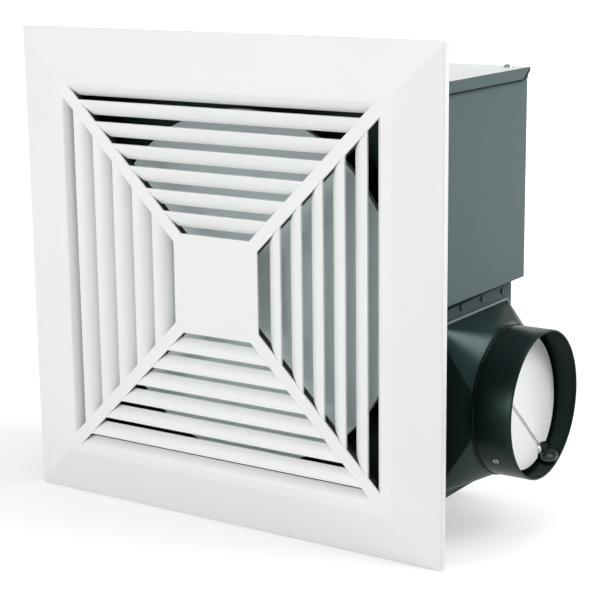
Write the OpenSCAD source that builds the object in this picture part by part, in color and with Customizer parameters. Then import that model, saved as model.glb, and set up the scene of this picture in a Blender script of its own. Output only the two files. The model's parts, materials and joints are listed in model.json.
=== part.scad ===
// Ceiling exhaust fan: a square mitred louvre grille on wire springs, a folded
// sheet casing, a centrifugal blower whose motor sits in the inlet, and a duct
// adapter whose round collar holds a spring-closed shutter.
// X runs towards the duct, Y runs up into the ceiling void, and Z runs along
// the grille. The origin is the grille's centre on the ceiling's lower face.

/* [Grille] */
// Outer width of the square grille
grille_w = 330; // [322:1:350]
// How far the grille stands out from the ceiling
grille_depth = 13; // [12:0.5:18]
// Height of the grille's upright outer edge
grille_edge_h = 5.4; // [4.4:0.2:7]
// Wall of the grille moulding
grille_wall = 2; // [1.6:0.1:2.4]
// Width of the louvred opening
opening_w = 251.2; // [244:0.4:254]
// Height of the louvred opening
opening_h = 254.8; // [248:0.4:258]
// Width of the flat land beside the opening
land_w = 7.4; // [5:0.2:9]
// Width of the frame's curved lip above and below the louvres
row_lip_run = 7.4; // [5:0.1:8]
// Depth of the lip above and below the louvres
row_lip_drop = 4.8; // [3.5:0.1:5.5]
// Width of the frame's curved lip beside the louvres
column_lip_run = 5; // [4:0.1:6]
// Depth of the lip beside the louvres
column_lip_drop = 6.6; // [5:0.1:7.2]
// Angle that the frame's lips bend through
lip_bend = 35; // [20:1:50]
// Width of the flat centre panel
panel_w = 67.2; // [50:0.4:90]
// Width of the diagonal ribs
rib_w = 8.8; // [6:0.2:12]
// Thickness of the diagonal ribs and of the centre panel
rib_t = 1; // [0.8:0.1:1.6]
// Depth of the cross brace behind the ribs
brace_depth = 5; // [3:0.5:6]
// Louvre blades in the upper and in the lower row
row_blades = 6; // [4:1:7]
// Louvre blades in each side column
column_blades = 5; // [4:1:6]
// Width of a blade in the upper and lower rows, measured across the grille
row_run = 10; // [8:0.1:11.5]
// Depth that a row blade curves back
row_drop = 3.8; // [3:0.1:5]
// Width of a blade in the side columns, measured across the grille
column_run = 12.1; // [9:0.1:13]
// Depth that a column blade curves back
column_drop = 6.2; // [4.5:0.1:7]
// How much further out the columns start, as a share of their pitch
column_lead = 0.1; // [0:0.02:0.2]
// Thickness of a louvre blade
blade_t = 1.6; // [1.2:0.1:2]

/* [Casing] */
// Width and height of the square casing
casing_w = 275; // [270:1:284]
// Depth of the casing behind the ceiling's lower face
casing_depth = 141.4; // [138:0.2:160]
// Thickness of the sheet steel
sheet = 1; // [0.8:0.1:1.2]
// Outer width of the ceiling flange
flange_w = 314; // [308:1:318]
// Distance between the ceiling screws along the casing
ceiling_screw_span = 200; // [150:5:240]
// Distance from the casing wall to the ceiling screws
ceiling_screw_inset = 10; // [8:0.5:11]
// Radius of the ceiling screw holes
ceiling_hole_r = 2.5; // [2:0.1:3.5]
// Height of the lips folded down from the top panel
lip_h = 7.5; // [5:0.5:12]
// Length of the mitre at the back end of the side lip
lip_mitre = 11; // [6:0.5:14]
// How far the wiring bay stands out from the casing's side
bay_out = 11.7; // [9:0.1:16]
// Gap between the side lip and the cover below it
lip_gap = 0.6; // [0.2:0.1:1]
// How far the wiring bay reaches into the casing
bay_in = 24.5; // [22:0.5:26]
// Height of the wiring bay's underside
bay_z = -4.5; // [-8:0.5:0]
// Size of the tabs that the panel screws bite into
tab_w = 14; // [12:0.5:18]

/* [Blower] */
// Distance from the ceiling's lower face to the orifice plate
orifice_y = 48; // [46:0.5:54]
// Radius of the inlet throat
throat_r = 62; // [58:0.5:62]
// Radius of the bell mouth's curve
bell_r = 8; // [6:0.5:9]
// Outer radius of the fan wheel
wheel_r = 78; // [74:0.5:80]
// Radial depth of the wheel's blades
wheel_blade_depth = 13; // [9:0.5:13]
// Width of the wheel along its shaft
wheel_w = 69; // [60:0.5:70]
// Number of blades on the wheel
wheel_blades_n = 40; // [30:1:44]
// Angle that a wheel blade leans forward
wheel_lean = 9; // [5:0.5:12]
// Radius of the wheel's hub
hub_r = 11; // [9:0.5:14]
// Gap between the wheel and the tongue of the scroll
tongue_gap = 6; // [5:0.5:8]
// Height of the outlet's upper wall
outlet_top_z = -22; // [-28:0.5:-20]
// Height of the outlet's lower wall
outlet_low_z = -131; // [-132:0.5:-128]

/* [Motor] */
// Radius of the round plate that carries the motor
plate_r = 120; // [110:0.5:121]
// How far the motor plate's edge sits off the shaft, towards the duct
plate_off_x = 1; // [-3:0.5:3]
// How far the motor plate's edge sits below the shaft
plate_off_z = 6; // [0:0.5:8]
// Distance from the ceiling's lower face to the motor plate
plate_y = 19; // [17:0.5:21]
// Height of the motor plate's folded rim
plate_rim = 4; // [3:0.5:6]
// Radius of the motor casing
motor_r = 38; // [34:0.5:39]
// Length of the motor casing
motor_len = 37; // [34:0.5:40]
// Radius of the motor shaft
shaft_r = 4; // [3:0.1:5]
// Outer radius of the sleeve bearings
bearing_r = 8; // [7:0.1:9]
// Running clearance of the shaft in its bearings
shaft_play = 0.05; // [0.02:0.01:0.09]
// Radius of the circle of motor studs
stud_circle_r = 46; // [45.5:0.1:50]
// Radius of the motor studs
stud_r = 2; // [1.6:0.1:2.4]

/* [Duct adapter] */
// Outer diameter of the duct collar
collar_d = 99; // [97:0.5:99.5]
// Wall of the adapter
adapter_wall = 1.2; // [1:0.1:1.4]
// Length of the straight collar
collar_len = 27.5; // [25:0.5:40]
// Length of the square-to-round transition
transition_len = 23.8; // [20:0.2:32]
// Distance from the ceiling's lower face to the collar's axis
collar_y = 86; // [84:0.5:88]
// Height of the collar's axis
collar_z = -75.5; // [-77:0.5:-74]
// Width of the transition's square end, along the casing's depth
mouth_w = 100; // [98:0.5:104]
// Height of the transition's square end
mouth_h = 111.4; // [108:0.2:112]
// Distance from the ceiling's lower face to the square end's middle
mouth_y = 84; // [82:0.5:85]
// Thickness of the adapter's flange
adapter_flange_t = 1.2; // [1:0.1:1.6]
// Radius of the flange's corners
flange_corner_r = 6; // [4:0.5:9]
// Margin of the flange in front of the square end
flange_front = 20; // [16:0.5:24]
// Margin of the flange behind the square end
flange_back = 3.7; // [2:0.1:5]
// Thickness of the adapter's foam gasket
gasket_t = 1; // [0.6:0.1:2]

/* [Shutter] */
// Radius of the shutter disc
flap_r = 45; // [43:0.1:45.4]
// Thickness of the shutter disc
flap_t = 1.2; // [0.8:0.1:1.6]
// Angle that the closed shutter leans inwards
flap_tilt = 4; // [3:0.5:6]
// Distance of the axle below the collar's axis
axle_drop = 35.1; // [34:0.1:35.5]
// Angle between the axle and the casing's depth
axle_roll = -8.4; // [-10:0.2:0]
// Distance from the adapter's flange to the axle
axle_out = 36.2; // [34:0.1:38]
// Radius of the axle
axle_r = 1.5; // [1.2:0.1:1.7]
// Running clearance of the axle in its eyelets
axle_play = 0.06; // [0.02:0.01:0.09]
// Radius of the eyelets
eyelet_r = 2.4; // [2.2:0.1:2.8]
// Radius of the spring wire on the shutter
flap_wire_r = 0.6; // [0.4:0.1:0.8]
// Length of the spring arm that lies across the shutter
flap_arm_len = 52; // [30:1:56]

/* [Grille springs] */
// Distance of each spring from the casing's inner wall
spring_in = 6.5; // [5.5:0.1:6.9]
// Radius of the spring wire
spring_wire_r = 0.7; // [0.5:0.1:0.9]
// Radius of the spring's coil
spring_coil_r = 2.6; // [2.4:0.1:3]
// Height of the spring's hooked ends above the ceiling's lower face
spring_top_y = 43; // [36:0.5:44]
// Half of the distance between the two arms at their hooks
spring_spread = 14; // [10:0.5:15]
// Length of the hook at each arm's end
spring_hook = 4; // [3:0.5:6]

/* [Wiring] */
// Length of the terminal block
terminal_l = 36; // [30:1:44]
// Radius of the run capacitor
capacitor_r = 12; // [9:0.5:13]
// Length of the run capacitor
capacitor_l = 44; // [34:1:48]
// Bore radius of the cable bush
cable_r = 5; // [4:0.1:6]
// Radius of the motor lead
lead_r = 2.8; // [2:0.1:3.2]
// Distance from the motor's axis to the lead's hole
lead_x = 125; // [122:0.5:127]
// Height of the lead's hole
lead_z = 62; // [50:1:70]

/* [Hidden] */

$fn = 64;

// Colours as the object shows them
white_plastic = [0.94, 0.94, 0.94];
grey_paint = [0.40, 0.45, 0.46];
dark_paint = [0.17, 0.22, 0.22];
galvanised = [0.56, 0.59, 0.60];
bright_steel = [0.72, 0.74, 0.75];
black_rubber = [0.07, 0.07, 0.07];
bronze = [0.66, 0.48, 0.26];
pale_plastic = [0.85, 0.84, 0.78];

// Small overlap that makes cutters pass their faces, and fused forms meet
eps = 0.01;
cut = 1;
// Gap between neighbours that must not touch
gap = 0.3;
// Gap of a pressed or screwed fit
fit = 0.02;

// Derived sizes of the casing
half = casing_w / 2;
inner = half - sheet;
bay_side = half + bay_out;
cover_x = bay_side - sheet - lip_gap;
partition_x = half - bay_in;
bay_floor = bay_z + sheet;
lid_z = half - sheet;
wall_back = casing_depth - sheet;
panel_back_y = wall_back - sheet;
orifice_back = orifice_y + sheet;
screw_z = half + ceiling_screw_inset;

// Derived sizes of the grille
open_half = opening_w / 2;
high_half = opening_h / 2;
panel_half = panel_w / 2;
land_half = open_half + land_w;
front_y = -grille_depth;
bevel_slope = (grille_depth - grille_edge_h) / (grille_w / 2 - land_half);
last_gap = 0.58;
brace_w = rib_w - 0.2;
brace_half = min(open_half - column_lip_run, high_half - row_lip_run) - gap;

// Derived sizes of the blower and the motor
wheel_inner_r = wheel_r - wheel_blade_depth;
bell_end_y = orifice_y + bell_r;
wheel_front_y = bell_end_y + 2;
wheel_back_y = wheel_front_y + wheel_w;
ring_t = 1.2;
wheel_blade_a = 0.7;
blade_inset = 0.3;
hub_len = 22;
hub_front_y = wheel_back_y - hub_len;
hub_wall = 2;
dish_w = 8;
nut_r = 7.5;
nut_t = 5;
tongue_r = wheel_r + tongue_gap;
tongue_a = asin(outlet_top_z / tongue_r);
scroll_end_a = 270;
scroll_growth = ln(-outlet_low_z / tongue_r) / (scroll_end_a - tongue_a);
plate_t = 1.2;
plate_back = plate_y + plate_t;
ear_y = plate_back + 4;
ear_t = 1.2;
motor_wall = 1;
motor_mid_y = ear_y + motor_len / 2;
motor_end_y = ear_y + motor_len;
bearing_len = 7;
shaft_front_y = plate_back + 1;
shaft_end_y = wheel_back_y + ring_t + nut_t + 1.5;
core_len = 16;
core_y = motor_mid_y - core_len / 2;
stator_bore_r = 21;
rotor_gap = 0.6;
rotor_ring = 2;
winding_r = 33;
winding_in_r = 25;
winding_past = 4;
cup_bevel = 2;
boss_t = 1.5;
cap_slot = [14, 6, 4];
ear_half = 8;
stud_angles = [90, 210, 330];
motor_nut_r = 3.8;
motor_nut_t = 2.6;
stud_past = 1.2;
grommet_r = 6.5;
grommet_neck_r = 4.1;
grommet_flange_t = 2.5;
leg_w = 12;
leg_foot = 12;
leg_r = plate_r - 11;
leg_screw_r = leg_r + 6.6;
stud_len = ear_y - plate_back + ear_t + grommet_flange_t + motor_nut_t + stud_past;

// Derived sizes of the duct adapter and the shutter
adapter_x = half + gasket_t;
adapter_face = adapter_x + adapter_flange_t;
collar_x = adapter_face + transition_len;
collar_r = collar_d / 2;
bore_r = collar_r - adapter_wall;
flange_top = bay_z - gap;
flange_low = -half + 0.4;
flange_near = mouth_y - mouth_w / 2 - flange_front;
flange_far = mouth_y + mouth_w / 2 + flange_back;
axle_x = adapter_face + axle_out;
flap_face = axle_r + gap;
knuckle_r = axle_r + 1.2;
knuckle_in = 12;
knuckle_out = 21.5;
coil_r = axle_r + 1 + flap_wire_r;
coil_turns = 3;
coil_pitch = 2 * flap_wire_r + 0.15;
coil_start = knuckle_out + 1.2;
block_in = coil_start + coil_turns * coil_pitch + flap_wire_r + gap;
notch_top = coil_r + flap_wire_r + 1.6;
block_r = notch_top - 0.6;
foot_x = 9;
foot_r = 6;
foot_t = 2;
foot_a = -54.6;
eyelet_bore_r = axle_r + axle_play;
eyelet_lip = 0.6;
eyelet_a = asin(axle_drop / collar_r);
eyelet_out = sqrt(pow(collar_r, 2) - pow(1.5 * eyelet_r, 2));
axle_half = sqrt(pow(collar_r - gap, 2) - pow(axle_drop, 2)) - axle_r;

// Derived sizes of the springs, their brackets and the wiring
bracket_y = 5;
bracket_t = 1.2;
bracket_half = 20;
bracket_h = 14;
bracket_rim = 1.9;
slot_half = spring_spread + 2.5;
coil_y = front_y + grille_wall + spring_coil_r + spring_wire_r + 2.2;
spring_coil_w = 4 * spring_wire_r + 1.4;
spring_x = inner - spring_in;
spring_ear_t = 1.5;
spring_ear_r = 3;
spring_ear_w = 8;
spring_ear_play = 0.5;
slot_w = spring_coil_w + 1.2;
spring_turn_a = atan((spring_spread - spring_coil_r) / (spring_top_y - coil_y));
terminal_y = 92;
terminal_w = 18;
terminal_h = 13;
terminal_step = 4;
terminal_cell = 8.8;
terminal_screw_r = 2.4;
terminal_screw_h = 2;
terminal_screw_off = 5;
capacitor_z = 108;
capacitor_x = partition_x + sheet + 2 + capacitor_r;
clip_w = 12;
clip_t = 1.2;
earth_z = 18;
earth_washer_r = 6;
earth_washer_t = 1;
earth_head_r = 3.6;
earth_head_h = 2.4;
lead_bush_r = lead_r + 2;
lead_bush_rim = 1.5;
lead_bush_h = 2;
cable_x = (partition_x + cover_x) / 2;
cable_z = 40;
cable_flange_r = cable_r + 4.5;
cable_neck_r = cable_r + 2.2;
cable_flange_out = 2.4;
cable_flange_in = 3;
panel_screw_r = 1.6;
panel_head_r = 3.2;
panel_head_h = 1.8;
panel_screw_past = 4;
leg_screw_past = 1.5;
tab_margin = 3;
panel_screw_y = [tab_w / 2 + tab_margin, panel_back_y - tab_w / 2 - gap];
tab_left_x = -inner + tab_w / 2;
tab_right_x = cover_x - tab_w / 2 - tab_margin;
bay_screw_x = (half + cover_x) / 2;
panel_screw_at = [
    [tab_left_x, panel_screw_y[0]], [tab_left_x, panel_screw_y[1]],
    [bay_screw_x, panel_screw_y[0]], [tab_right_x, panel_screw_y[1]]
];
bead_h = 0.8;
bead_w = 1.2;
stop_t = 1.2;
stop_w = 8;
flap_ring_r = 31;
flap_ring_w = 2;
flap_ring_h = 1.2;
adapter_screw_r = 1.2;
adapter_head_r = 1.8;
adapter_head_h = 0.8;
screw_past = 1.5;
adapter_screw_z = (flange_top + collar_z + mouth_h / 2) / 2;
adapter_screw_y = [mouth_y - 18, mouth_y + 11, mouth_y + 40];
adapter_side_z = [collar_z - 30, collar_z + 30];

// Extrudes a (y, z) outline along X, from x for a thickness t
module wall_x(x, t) translate([x, 0, 0]) rotate([90, 0, 90]) linear_extrude(t) children();

// Extrudes an (x, z) outline along Y, from y for a thickness t
module wall_y(y, t) translate([0, y + t, 0]) rotate([90, 0, 0]) linear_extrude(t) children();

// Extrudes an (x, y) outline along Z, from z for a thickness t
module wall_z(z, t) translate([0, 0, z]) linear_extrude(t) children();

// A rectangle given by its lowest and highest corners
module span(low, high) translate(low) square(high - low);

// Revolves an (r, y) outline round the Y axis
module turned_y() rotate([-90, 0, 0]) rotate_extrude() children();

// A rod along Y, X or Z from a point, for a length
module rod_y(p, r, l) translate(p) rotate([-90, 0, 0]) cylinder(h = l, r = r);
module rod_x(p, r, l) translate(p) rotate([0, 90, 0]) cylinder(h = l, r = r);
module rod_z(p, r, l) translate(p) cylinder(h = l, r = r);

function unit(v) = v / norm(v);
function polar(r, a) = [r * cos(a), r * sin(a)];
function heading(p, i) = unit(p[min(i + 1, len(p) - 1)] - p[max(i - 1, 0)]);

// A round wire of radius r swept along a list of points
module wire(path, r, sides = 8) {
    last = len(path) - 1;
    t = [for (i = [0:last]) heading(path, i)];
    first = unit(cross(t[0], abs(t[0][2]) < 0.8 ? [0, 0, 1] : [1, 0, 0]));
    side = [for (i = 0, v = first; i <= last; i = i + 1, v = i > last ? v : unit(v - (v * t[i]) * t[i])) v];
    points = [
        for (i = [0:last]) for (k = [0:sides - 1]) let (a = 360 * k / sides)
            path[i] + r * (cos(a) * side[i] + sin(a) * cross(t[i], side[i]))
    ];
    skin = [
        for (i = [0:last - 1]) for (k = [0:sides - 1])
            let (a = i * sides + k, b = i * sides + (k + 1) % sides)
                each [[a, a + sides, b], [b, a + sides, b + sides]]
    ];
    ends = [[for (k = [0:sides - 1]) k], [for (k = [sides - 1:-1:0]) last * sides + k]];
    polyhedron(points, concat(skin, ends));
}

// Places children at the collar's axis, turned so that the axle runs along Y
module at_collar() translate([axle_x, collar_y, collar_z]) rotate([axle_roll, 0, 0]) children();

// Places children at the axle, with the closed shutter's face square to X
module at_flap() at_collar() translate([0, 0, -axle_drop]) rotate([0, -flap_tilt, 0]) children();

// A solid round bar on the collar's axis
module collar_core(r) rod_x([collar_x - collar_len, collar_y, collar_z], r, 3 * collar_len, $fn = 240);

// The grille

// Square block with its front edges bevelled back, d deep and h to its side
module bevelled_block(d, edge, h) {
    outline = [[0, -h], [0, h], [-edge, h], [-d, land_half], [-d, -land_half], [-edge, -h]];
    intersection() {
        wall_x(-h, 2 * h) polygon(outline);
        wall_z(-h, 2 * h) polygon([for (p = outline) [p[1], p[0]]]);
    }
}

// Cross-section of a blade from its outer nose, as (y, z) points round an arc
function blade_section(z, run, drop, steps = 8) =
    let (sweep = 2 * atan(drop / run), r = run / sin(sweep), inner_r = r - blade_t)
    concat(
        [for (i = [0:steps]) let (a = sweep * i / steps) [front_y + r - r * cos(a), z - r * sin(a)]],
        [for (i = [steps:-1:0]) let (a = sweep * i / steps)
            [front_y + r - inner_r * cos(a), z - inner_r * sin(a)]]
    );

// Cross-section of the frame's lip, which starts at the land with a crease
function lip_section(edge, run, drop, steps = 6) =
    let (from = atan(drop / run) - lip_bend / 2,
         r = norm([run, drop]) / (2 * sin(lip_bend / 2)),
         centre = [front_y + r * cos(from), edge + r * sin(from)])
    concat(
        [for (i = [0:steps]) let (a = from + lip_bend * i / steps) centre - r * [cos(a), sin(a)]],
        [for (i = [steps:-1:0]) let (a = from + lip_bend * i / steps)
            centre - (r - blade_t) * [cos(a), sin(a)]],
        [[front_y + grille_wall, edge + cut], [front_y, edge + cut]]
    );

// One bank of blades, and the frame's lip at its edge, trimmed to the diagonals
module blade_bank(blades, blade, edge, lip, lead) {
    pitch = (open_half - panel_half) / (blades + last_gap + lead);
    reach = edge + 2 * cut;
    difference() {
        intersection() {
            for (k = [1:blades])
                wall_x(-open_half, opening_w)
                    polygon(blade_section(panel_half + (k + lead) * pitch, blade[0], blade[1]));
            wall_y(front_y - cut, grille_depth) polygon([[0, 0], [reach, reach], [-reach, reach]]);
        }
        wall_y(front_y - 2 * cut, grille_depth) diagonals(brace_w);
    }
    intersection() {
        wall_x(-reach, 2 * reach) polygon(lip_section(edge, lip[0], lip[1]));
        wall_y(front_y - cut, grille_depth) polygon([[0, 0], [reach, reach], [-reach, reach]]);
    }
}

// Two crossed strips along the diagonals
module diagonals(w) for (a = [45, 135]) rotate(a) square([2 * opening_w, w], center = true);

// Two ears and a pin that hold one spring's coil
module spring_ears() {
    reach = spring_coil_w / 2 + spring_ear_play;
    half_w = reach + spring_ear_t;
    for (side = [-1, 1])
        translate([spring_x + side * (reach + spring_ear_t / 2), front_y + grille_wall / 2, 0])
            wall_x(-spring_ear_t / 2, spring_ear_t) hull() {
                translate([0, -spring_ear_w / 2]) square([grille_wall / 4, spring_ear_w]);
                translate([coil_y - front_y - grille_wall / 2, 0]) circle(spring_ear_r, $fn = 24);
            }
    rod_x([spring_x - half_w, coil_y, 0], spring_coil_r - spring_wire_r - gap, 2 * half_w);
}

module louvre_grille() color(white_plastic) {
    difference() {
        bevelled_block(grille_depth, grille_edge_h, grille_w / 2);
        translate([0, eps, 0])
            bevelled_block(grille_depth - grille_wall,
                           grille_edge_h + bevel_slope * grille_wall - grille_wall,
                           grille_w / 2 - grille_wall);
        wall_y(front_y - cut, grille_depth + 2 * cut) square([opening_w, opening_h], center = true);
    }
    for (side = [0, 180]) rotate([0, side, 0])
        blade_bank(row_blades, [row_run, row_drop], high_half, [row_lip_run, row_lip_drop], 0);
    for (side = [90, 270]) rotate([0, side, 0])
        blade_bank(column_blades, [column_run, column_drop], open_half, [column_lip_run, column_lip_drop],
                   column_lead);
    wall_y(front_y, rib_t) square(panel_w, center = true);
    intersection() {
        wall_y(front_y, rib_t) diagonals(rib_w);
        wall_y(front_y - cut, grille_depth) square([opening_w, opening_h], center = true);
    }
    for (side = [0, 180]) rotate([0, side, 0]) spring_ears();
}

// Dark brace behind the ribs, which the blades butt against
module cross_brace() color(black_rubber) intersection() {
    wall_y(front_y + rib_t, brace_depth) diagonals(brace_w);
    wall_y(front_y, grille_depth) square(2 * brace_half, center = true);
}

// One V spring: hook, arm, coil, arm and hook, in the plane of its arms
module grille_spring(side) {
    turn_from = -(90 + spring_turn_a);
    turn_to = 90 + spring_turn_a - 3 * 360;
    steps = 30;
    half_w = spring_coil_w / 2 - spring_wire_r;
    coil = [
        for (i = [0:steps]) let (a = turn_from + (turn_to - turn_from) * i / steps)
            [half_w * (2 * i / steps - 1), coil_y + spring_coil_r * cos(a), spring_coil_r * sin(a)]
    ];
    bend = spring_hook / 4;
    path = concat(
        [[-half_w, spring_top_y, -spring_spread - spring_hook],
         [-half_w, spring_top_y, -spring_spread - bend],
         [-half_w, spring_top_y - bend, -spring_spread]],
        coil,
        [[half_w, spring_top_y - bend, spring_spread],
         [half_w, spring_top_y, spring_spread + bend],
         [half_w, spring_top_y, spring_spread + spring_hook]]
    );
    translate([side * spring_x, 0, 0]) wire(path, spring_wire_r);
}

module grille_spring_left() color(bright_steel) grille_spring(-1);
module grille_spring_right() color(bright_steel) grille_spring(1);

// Brackets on the casing walls, slotted for the spring arms
module spring_brackets() color(galvanised) {
    for (side = [0, 180]) rotate([0, side, 0]) {
        wall_x(inner - bracket_t, bracket_t)
            span([bracket_y, -bracket_half], [bracket_y + bracket_h, bracket_half]);
        difference() {
            wall_y(bracket_y, bracket_t)
                span([spring_x - slot_w / 2 - bracket_rim, -bracket_half], [inner, bracket_half]);
            wall_y(bracket_y - cut, bracket_t + 2 * cut)
                span([spring_x - slot_w / 2, -slot_half], [spring_x + slot_w / 2, slot_half]);
        }
    }
}

// The casing

// Tabs at the top edges that the panel screws bite into
module screw_tab(x, y, w) difference() {
    wall_z(lid_z - sheet, sheet) translate([x, y]) square([w, tab_w], center = true);
    rod_z([x, y, lid_z - sheet - cut], panel_screw_r + fit, sheet + 2 * cut);
}

module casing_shell() color(dark_paint) {
    difference() {
        wall_y(-sheet, sheet) square(flange_w, center = true);
        wall_y(-sheet - cut, sheet + 2 * cut) square(2 * inner, center = true);
        for (x = [-1, 1], z = [-1, 1])
            rod_y([x * ceiling_screw_span / 2, -sheet - cut, z * screw_z], ceiling_hole_r, sheet + 2 * cut);
    }
    wall_x(-half, sheet) span([-eps, -half], [wall_back, lid_z]);
    wall_z(-half, sheet) span([-half, -eps], [half, wall_back]);
    difference() {
        wall_x(inner, sheet) polygon([
            [-eps, -half], [wall_back, -half], [wall_back, bay_z],
            [orifice_back, bay_z], [orifice_back, lid_z], [-eps, lid_z]
        ]);
        wall_x(inner - cut, sheet + 2 * cut)
            span([orifice_back, outlet_low_z], [mouth_y + mouth_w / 2 - sheet, outlet_top_z]);
        adapter_rods(inner - cut, adapter_screw_r + fit, sheet + 2 * cut);
    }
    for (y = panel_screw_y) screw_tab(tab_left_x, y, tab_w);
}

module top_panel() color(grey_paint) {
    difference() {
        wall_z(lid_z, sheet) span([-half - sheet, 0], [bay_side, casing_depth]);
        for (p = panel_screw_at) rod_z([p[0], p[1], lid_z - cut], panel_screw_r + fit, sheet + 2 * cut);
    }
    wall_x(bay_side - sheet, sheet) polygon([
        [0, half], [casing_depth, half], [casing_depth - lip_mitre, half - lip_h], [0, half - lip_h]
    ]);
    wall_x(-half - sheet, sheet) span([0, half - lip_h], [casing_depth, half]);
    wall_y(wall_back, sheet) span([-half, half - lip_h], [cover_x, half]);
}

module back_panel() color(grey_paint) difference() {
    wall_y(panel_back_y, sheet) polygon([
        [-inner, -inner], [inner, -inner], [inner, bay_floor],
        [cover_x - sheet, bay_floor], [cover_x - sheet, lid_z], [-inner, lid_z]
    ]);
    rod_y([cable_x, panel_back_y - cut, cable_z], cable_neck_r + fit, sheet + 2 * cut);
}

// Side cover of the wiring bay, with its folded underside and screw tabs
module wiring_cover() color(grey_paint) {
    wall_x(cover_x - sheet, sheet) span([0, bay_z], [wall_back, lid_z]);
    wall_z(bay_z, sheet) span([half, 0], [cover_x - sheet / 2, wall_back]);
    screw_tab(bay_screw_x, panel_screw_y[0], bay_out - 2 * sheet);
    screw_tab(tab_right_x, panel_screw_y[1], tab_w);
    wall_z(lid_z - sheet, sheet)
        span([tab_right_x + tab_w / 2 - eps, panel_screw_y[1] - tab_w / 2],
             [cover_x - sheet / 2, panel_screw_y[1] + tab_w / 2]);
}

module wiring_partition() color(galvanised) {
    wall_x(partition_x, sheet) span([orifice_back, bay_z], [panel_back_y, lid_z]);
    wall_z(bay_z, sheet) span([partition_x, orifice_back], [half, panel_back_y]);
}

module panel_screws() color(bright_steel)
    for (p = panel_screw_at) translate([p[0], p[1], 0]) {
        rod_z([0, 0, lid_z - sheet - panel_screw_past], panel_screw_r, panel_screw_past + 2 * sheet + eps);
        difference() {
            translate([0, 0, half]) cylinder(h = panel_head_h, r1 = panel_head_r, r2 = 0.75 * panel_head_r);
            for (a = [0, 90]) translate([0, 0, half + panel_head_h]) rotate(a)
                cube([0.9, panel_head_r, panel_head_h], center = true);
        }
    }

// The blower

function scroll_r(a) = tongue_r * exp(scroll_growth * (a - tongue_a));

// Points of the scroll's spiral from an angle to its end, moved out by a wall
function spiral(from, wall, steps = 30) = [
    for (i = [0:steps]) let (a = from + (scroll_end_a - from) * i / steps) polar(scroll_r(a) + wall, a)
];
function reversed(list) = [for (i = [len(list) - 1:-1:0]) list[i]];

module orifice_plate() color(dark_paint) {
    flare = [for (i = [0:6]) 180 + 15 * i];
    difference() {
        wall_y(orifice_y, sheet) square(2 * inner, center = true);
        rod_y([0, orifice_y - cut, 0], throat_r + bell_r, sheet + 2 * cut);
        rod_y([lead_x, orifice_y - cut, lead_z], lead_bush_r + fit, sheet + 2 * cut);
        at_plate() for (a = [45:90:315]) let (p = polar(leg_screw_r, a))
            rod_y([p[0], orifice_y - cut, p[1]], panel_screw_r + fit, sheet + 2 * cut);
    }
    turned_y() translate([throat_r + bell_r, bell_end_y]) polygon(concat(
        [for (a = flare) polar(bell_r, a)],
        [[eps, -bell_r], [eps, sheet - bell_r]],
        [for (i = [6:-1:0]) polar(bell_r - sheet, flare[i])]
    ));
}

module scroll_wrap() color(galvanised) {
    outer_a = asin((outlet_top_z + sheet) / (tongue_r + sheet));
    wall_y(orifice_back, panel_back_y - orifice_back) polygon(concat(
        [[inner, outlet_top_z]],
        spiral(tongue_a, 0),
        [[inner, outlet_low_z], [inner, outlet_low_z - sheet]],
        reversed(spiral(outer_a, sheet)),
        [[inner, outlet_top_z + sheet]]
    ));
}

// Places children at the middle of the motor plate's round edge
module at_plate() translate([plate_off_x, 0, -plate_off_z]) children();

module motor_plate() color(galvanised) {
    at_plate() turned_y() polygon([
        [0, plate_y], [plate_r, plate_y], [plate_r, plate_y + plate_rim],
        [plate_r - plate_t, plate_y + plate_rim], [plate_r - plate_t, plate_back], [0, plate_back]
    ]);
    for (a = stud_angles) let (p = polar(stud_circle_r, a))
        rod_y([p[0], plate_back - eps, p[1]], stud_r, stud_len + eps);
}

// Bent straps that carry the motor plate in front of the orifice plate
module plate_legs() color(dark_paint) at_plate()
    for (a = [45:90:315]) rotate([0, -a, 0]) {
        wall_y(plate_back, plate_t) span([leg_r - leg_foot, -leg_w / 2], [leg_r, leg_w / 2]);
        wall_x(leg_r - plate_t, plate_t) span([plate_back, -leg_w / 2], [orifice_y, leg_w / 2]);
        difference() {
            wall_y(orifice_y - plate_t, plate_t)
                span([leg_r - eps, -leg_w / 2], [leg_r + leg_foot, leg_w / 2]);
            rod_y([leg_screw_r, orifice_y - plate_t - cut, 0], panel_screw_r + fit, plate_t + 2 * cut);
        }
    }

module leg_screws() color(dark_paint) at_plate()
    for (a = [45:90:315]) rotate([0, -a, 0]) {
        rod_y([leg_screw_r, orifice_y - plate_t - eps, 0], panel_screw_r, plate_t + sheet + leg_screw_past);
        rod_y([leg_screw_r, orifice_y - plate_t - panel_head_h, 0], panel_head_r, panel_head_h);
    }

// The motor

// A cup with a bearing boss, turned about the shaft; face is its closed end
module motor_cup(face, inside) {
    mouth = motor_mid_y;
    dir = mouth > face ? 1 : -1;
    turned_y() polygon([
        [bearing_r + fit, face], [motor_r - cup_bevel, face], [motor_r, face + dir * cup_bevel],
        [motor_r, mouth], [motor_r - motor_wall, mouth],
        [motor_r - motor_wall, face + dir * (cup_bevel + motor_wall)],
        [motor_r - cup_bevel - motor_wall, face + dir * motor_wall],
        [bearing_r + boss_t, face + dir * motor_wall],
        [bearing_r + boss_t, face + dir * inside], [bearing_r + fit, face + dir * inside]
    ]);
}

// Air slots in a motor cap's face
module cap_slots(y) for (a = [15:60:315]) rotate([0, -a, 0])
    translate([(bearing_r + motor_r) / 2, y, 0]) cube(cap_slot, center = true);

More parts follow.
